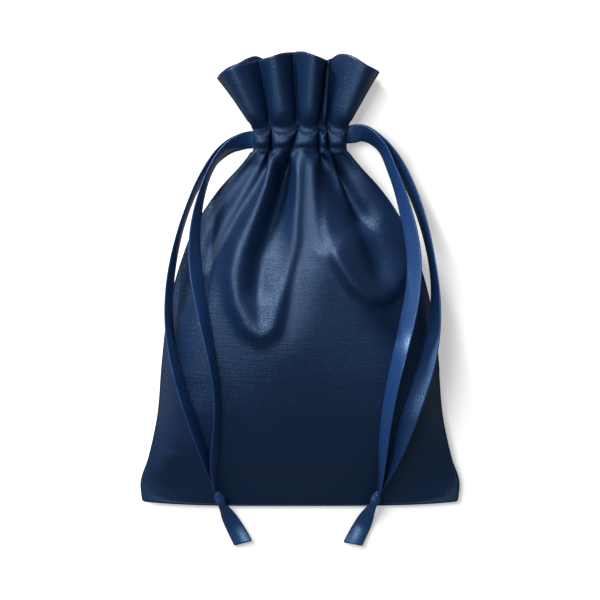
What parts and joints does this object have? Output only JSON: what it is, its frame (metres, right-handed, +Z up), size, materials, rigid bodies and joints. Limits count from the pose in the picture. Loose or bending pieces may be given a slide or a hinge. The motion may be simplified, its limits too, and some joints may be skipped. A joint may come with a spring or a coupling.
{
  "type": "drawstring gift pouch",
  "caption": "Satin drawstring gift pouch, filled and cinched, with a gathered neck, a flared frill and ribbon loops knotted over its front.",
  "frame": {"origin": "on the table that the back panel lies on, under the middle of the cloth's box (ribbons left out)", "axes": "+X across the pouch to the right, +Y from the bottom seam to the mouth, +Z up out of the front panel"},
  "size_m": [0.102, 0.1565, 0.0271],
  "materials": {
    "satin": "navy polyester satin, soft sheen",
    "ribbon": "single-face satin ribbon, brighter blue",
    "thread": "matt navy sewing thread"
  },
  "bodies": {
    "pouch": {"front_panel": "satin", "back_panel": "satin", "front_hem_facing": "satin", "back_hem_facing": "satin", "back_frill": "satin", "left_side_seam": "satin", "right_side_seam": "satin", "bottom_seam": "satin", "slit_hem_back_left": "satin", "slit_hem_back_right": "satin", "front_lower_stitching": "thread", "front_upper_stitching": "thread", "back_lower_stitching": "thread", "back_upper_stitching": "thread"},
    "frill_leaf": {"front_frill": "satin", "slit_hem_front_left": "satin", "slit_hem_front_right": "satin"},
    "left_ribbon": {"left_drawstring": "ribbon"},
    "left_loop": {"left_front_strand": "ribbon", "left_back_strand": "ribbon", "left_knot": "ribbon", "left_upper_tail": "ribbon", "left_lower_tail": "ribbon"},
    "right_ribbon": {"right_drawstring": "ribbon"},
    "right_loop": {"right_front_strand": "ribbon", "right_back_strand": "ribbon", "right_knot": "ribbon", "right_upper_tail": "ribbon", "right_lower_tail": "ribbon"}
  },
  "joints": [
    {"name": "frill_open", "type": "hinge", "parent": "pouch", "child": "frill_leaf", "pos_m": [0, 0.04915, 0.0109], "axis": [1, 0, 0], "range_deg": [0, 22]},
    {"name": "left_pull", "type": "slide", "parent": "pouch", "child": "left_ribbon", "axis": [-1, 0, 0], "range_m": [0, 0.003]},
    {"name": "left_lift", "type": "hinge", "parent": "left_ribbon", "child": "left_loop", "pos_m": [-0.0197, 0.043, 0.0062], "axis": [-1, 0, 0], "range_deg": [0, 110]},
    {"name": "right_pull", "type": "slide", "parent": "pouch", "child": "right_ribbon", "axis": [1, 0, 0], "range_m": [0, 0.003]},
    {"name": "right_lift", "type": "hinge", "parent": "right_ribbon", "child": "right_loop", "pos_m": [0.0197, 0.0463, 0.0062], "axis": [-1, 0, 0], "range_deg": [0, 110]}
  ]
}
